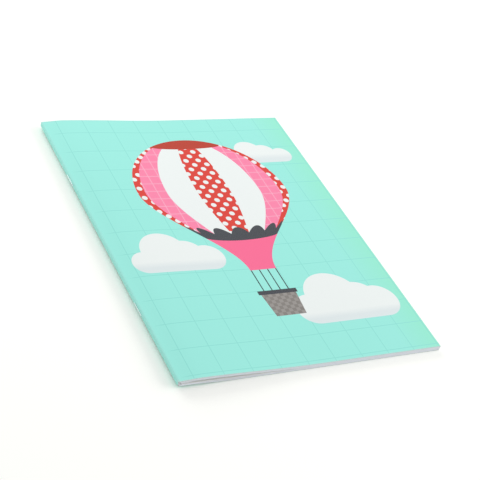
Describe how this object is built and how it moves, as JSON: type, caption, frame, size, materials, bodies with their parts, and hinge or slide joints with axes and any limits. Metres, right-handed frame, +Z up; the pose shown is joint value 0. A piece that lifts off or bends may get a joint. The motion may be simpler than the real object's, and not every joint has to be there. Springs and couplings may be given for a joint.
{
  "type": "monthly planner",
  "caption": "Closed saddle-stitched softcover monthly planner: folded paper leaves in a creased mint card cover, held by wire staples, its cover and leaves turning at the spine.",
  "frame": {"origin": "middle of the back cover's underside, which lies on the table", "axes": "+X from the spine to the fore-edge, +Y along the spine from the foot to the head of the pages, +Z up through the closed booklet"},
  "size_m": [0.2165, 0.2794, 0.0077],
  "materials": {
    "cover_card": "smooth printed mint card with thin grid lines",
    "page_paper": "uncoated white writing paper",
    "staple_wire": "bright zinc-coated steel wire"
  },
  "bodies": {
    "back_cover": {"back_cover": "cover_card"},
    "spine": {"cover_spine": "cover_card", "folio_01_fold": "page_paper", "folio_02_fold": "page_paper", "folio_03_fold": "page_paper", "folio_04_fold": "page_paper", "folio_05_fold": "page_paper", "folio_06_fold": "page_paper", "folio_07_fold": "page_paper", "folio_08_fold": "page_paper", "folio_09_fold": "page_paper", "folio_10_fold": "page_paper", "folio_11_fold": "page_paper", "folio_12_fold": "page_paper", "upper_staple": "staple_wire", "lower_staple": "staple_wire"},
    "front_cover": {"front_cover": "cover_card"},
    "leaf_01": {"leaf_01": "page_paper"},
    "leaf_02": {"leaf_02": "page_paper"},
    "leaf_03": {"leaf_03": "page_paper"},
    "leaf_04": {"leaf_04": "page_paper"},
    "leaf_05": {"leaf_05": "page_paper"},
    "leaf_06": {"leaf_06": "page_paper"},
    "leaf_07": {"leaf_07": "page_paper"},
    "leaf_08": {"leaf_08": "page_paper"},
    "leaf_09": {"leaf_09": "page_paper"},
    "leaf_10": {"leaf_10": "page_paper"},
    "leaf_11": {"leaf_11": "page_paper"},
    "leaf_12": {"leaf_12": "page_paper"},
    "leaf_13": {"leaf_13": "page_paper"},
    "leaf_14": {"leaf_14": "page_paper"},
    "leaf_15": {"leaf_15": "page_paper"},
    "leaf_16": {"leaf_16": "page_paper"},
    "leaf_17": {"leaf_17": "page_paper"},
    "leaf_18": {"leaf_18": "page_paper"},
    "leaf_19": {"leaf_19": "page_paper"},
    "leaf_20": {"leaf_20": "page_paper"},
    "leaf_21": {"leaf_21": "page_paper"},
    "leaf_22": {"leaf_22": "page_paper"},
    "leaf_23": {"leaf_23": "page_paper"},
    "leaf_24": {"leaf_24": "page_paper"}
  },
  "joints": [
    {"name": "spine_hinge", "type": "hinge", "parent": "back_cover", "child": "spine", "pos_m": [-0.10427, 0, 0.00368], "axis": [0, -1, 0], "range_deg": [0, 87]},
    {"name": "front_cover_hinge", "type": "hinge", "parent": "spine", "child": "front_cover", "pos_m": [-0.10427, 0, 0.00368], "axis": [0, -1, 0], "range_deg": [0, 87]},
    {"name": "leaf_01_hinge", "type": "hinge", "parent": "spine", "child": "leaf_01", "pos_m": [-0.10427, 0, 0.00368], "axis": [0, -1, 0], "range_deg": [0, 84.83]},
    {"name": "leaf_02_hinge", "type": "hinge", "parent": "spine", "child": "leaf_02", "pos_m": [-0.10427, 0, 0.00368], "axis": [0, -1, 0], "range_deg": [0, 82.65]},
    {"name": "leaf_03_hinge", "type": "hinge", "parent": "spine", "child": "leaf_03", "pos_m": [-0.10427, 0, 0.00368], "axis": [0, -1, 0], "range_deg": [0, 80.47]},
    {"name": "leaf_04_hinge", "type": "hinge", "parent": "spine", "child": "leaf_04", "pos_m": [-0.10427, 0, 0.00368], "axis": [0, -1, 0], "range_deg": [0, 78.3]},
    {"name": "leaf_05_hinge", "type": "hinge", "parent": "spine", "child": "leaf_05", "pos_m": [-0.10427, 0, 0.00368], "axis": [0, -1, 0], "range_deg": [0, 76.12]},
    {"name": "leaf_06_hinge", "type": "hinge", "parent": "spine", "child": "leaf_06", "pos_m": [-0.10427, 0, 0.00368], "axis": [0, -1, 0], "range_deg": [0, 73.95]},
    {"name": "leaf_07_hinge", "type": "hinge", "parent": "spine", "child": "leaf_07", "pos_m": [-0.10427, 0, 0.00368], "axis": [0, -1, 0], "range_deg": [0, 71.78]},
    {"name": "leaf_08_hinge", "type": "hinge", "parent": "spine", "child": "leaf_08", "pos_m": [-0.10427, 0, 0.00368], "axis": [0, -1, 0], "range_deg": [0, 69.6]},
    {"name": "leaf_09_hinge", "type": "hinge", "parent": "spine", "child": "leaf_09", "pos_m": [-0.10427, 0, 0.00368], "axis": [0, -1, 0], "range_deg": [0, 67.42]},
    {"name": "leaf_10_hinge", "type": "hinge", "parent": "spine", "child": "leaf_10", "pos_m": [-0.10427, 0, 0.00368], "axis": [0, -1, 0], "range_deg": [0, 65.25]},
    {"name": "leaf_11_hinge", "type": "hinge", "parent": "spine", "child": "leaf_11", "pos_m": [-0.10427, 0, 0.00368], "axis": [0, -1, 0], "range_deg": [0, 63.08]},
    {"name": "leaf_12_hinge", "type": "hinge", "parent": "spine", "child": "leaf_12", "pos_m": [-0.10427, 0, 0.00368], "axis": [0, -1, 0], "range_deg": [0, 60.9]},
    {"name": "leaf_13_hinge", "type": "hinge", "parent": "spine", "child": "leaf_13", "pos_m": [-0.10427, 0, 0.00368], "axis": [0, -1, 0], "range_deg": [-60.9, 0]},
    {"name": "leaf_14_hinge", "type": "hinge", "parent": "spine", "child": "leaf_14", "pos_m": [-0.10427, 0, 0.00368], "axis": [0, -1, 0], "range_deg": [-63.08, 0]},
    {"name": "leaf_15_hinge", "type": "hinge", "parent": "spine", "child": "leaf_15", "pos_m": [-0.10427, 0, 0.00368], "axis": [0, -1, 0], "range_deg": [-65.25, 0]},
    {"name": "leaf_16_hinge", "type": "hinge", "parent": "spine", "child": "leaf_16", "pos_m": [-0.10427, 0, 0.00368], "axis": [0, -1, 0], "range_deg": [-67.42, 0]},
    {"name": "leaf_17_hinge", "type": "hinge", "parent": "spine", "child": "leaf_17", "pos_m": [-0.10427, 0, 0.00368], "axis": [0, -1, 0], "range_deg": [-69.6, 0]},
    {"name": "leaf_18_hinge", "type": "hinge", "parent": "spine", "child": "leaf_18", "pos_m": [-0.10427, 0, 0.00368], "axis": [0, -1, 0], "range_deg": [-71.78, 0]},
    {"name": "leaf_19_hinge", "type": "hinge", "parent": "spine", "child": "leaf_19", "pos_m": [-0.10427, 0, 0.00368], "axis": [0, -1, 0], "range_deg": [-73.95, 0]},
    {"name": "leaf_20_hinge", "type": "hinge", "parent": "spine", "child": "leaf_20", "pos_m": [-0.10427, 0, 0.00368], "axis": [0, -1, 0], "range_deg": [-76.12, 0]},
    {"name": "leaf_21_hinge", "type": "hinge", "parent": "spine", "child": "leaf_21", "pos_m": [-0.10427, 0, 0.00368], "axis": [0, -1, 0], "range_deg": [-78.3, 0]},
    {"name": "leaf_22_hinge", "type": "hinge", "parent": "spine", "child": "leaf_22", "pos_m": [-0.10427, 0, 0.00368], "axis": [0, -1, 0], "range_deg": [-80.47, 0]},
    {"name": "leaf_23_hinge", "type": "hinge", "parent": "spine", "child": "leaf_23", "pos_m": [-0.10427, 0, 0.00368], "axis": [0, -1, 0], "range_deg": [-82.65, 0]},
    {"name": "leaf_24_hinge", "type": "hinge", "parent": "spine", "child": "leaf_24", "pos_m": [-0.10427, 0, 0.00368], "axis": [0, -1, 0], "range_deg": [-84.83, 0]}
  ],
  "couplings": [
    {"joint": "front_cover_hinge", "follows": "spine_hinge", "ratio": 1},
    {"joint": "leaf_01_hinge", "follows": "spine_hinge", "ratio": 0.975},
    {"joint": "leaf_02_hinge", "follows": "spine_hinge", "ratio": 0.95},
    {"joint": "leaf_03_hinge", "follows": "spine_hinge", "ratio": 0.925},
    {"joint": "leaf_04_hinge", "follows": "spine_hinge", "ratio": 0.9},
    {"joint": "leaf_05_hinge", "follows": "spine_hinge", "ratio": 0.875},
    {"joint": "leaf_06_hinge", "follows": "spine_hinge", "ratio": 0.85},
    {"joint": "leaf_07_hinge", "follows": "spine_hinge", "ratio": 0.825},
    {"joint": "leaf_08_hinge", "follows": "spine_hinge", "ratio": 0.8},
    {"joint": "leaf_09_hinge", "follows": "spine_hinge", "ratio": 0.775},
    {"joint": "leaf_10_hinge", "follows": "spine_hinge", "ratio": 0.75},
    {"joint": "leaf_11_hinge", "follows": "spine_hinge", "ratio": 0.725},
    {"joint": "leaf_12_hinge", "follows": "spine_hinge", "ratio": 0.7},
    {"joint": "leaf_13_hinge", "follows": "spine_hinge", "ratio": -0.7},
    {"joint": "leaf_14_hinge", "follows": "spine_hinge", "ratio": -0.725},
    {"joint": "leaf_15_hinge", "follows": "spine_hinge", "ratio": -0.75},
    {"joint": "leaf_16_hinge", "follows": "spine_hinge", "ratio": -0.775},
    {"joint": "leaf_17_hinge", "follows": "spine_hinge", "ratio": -0.8},
    {"joint": "leaf_18_hinge", "follows": "spine_hinge", "ratio": -0.825},
    {"joint": "leaf_19_hinge", "follows": "spine_hinge", "ratio": -0.85},
    {"joint": "leaf_20_hinge", "follows": "spine_hinge", "ratio": -0.875},
    {"joint": "leaf_21_hinge", "follows": "spine_hinge", "ratio": -0.9},
    {"joint": "leaf_22_hinge", "follows": "spine_hinge", "ratio": -0.925},
    {"joint": "leaf_23_hinge", "follows": "spine_hinge", "ratio": -0.95},
    {"joint": "leaf_24_hinge", "follows": "spine_hinge", "ratio": -0.975}
  ]
}
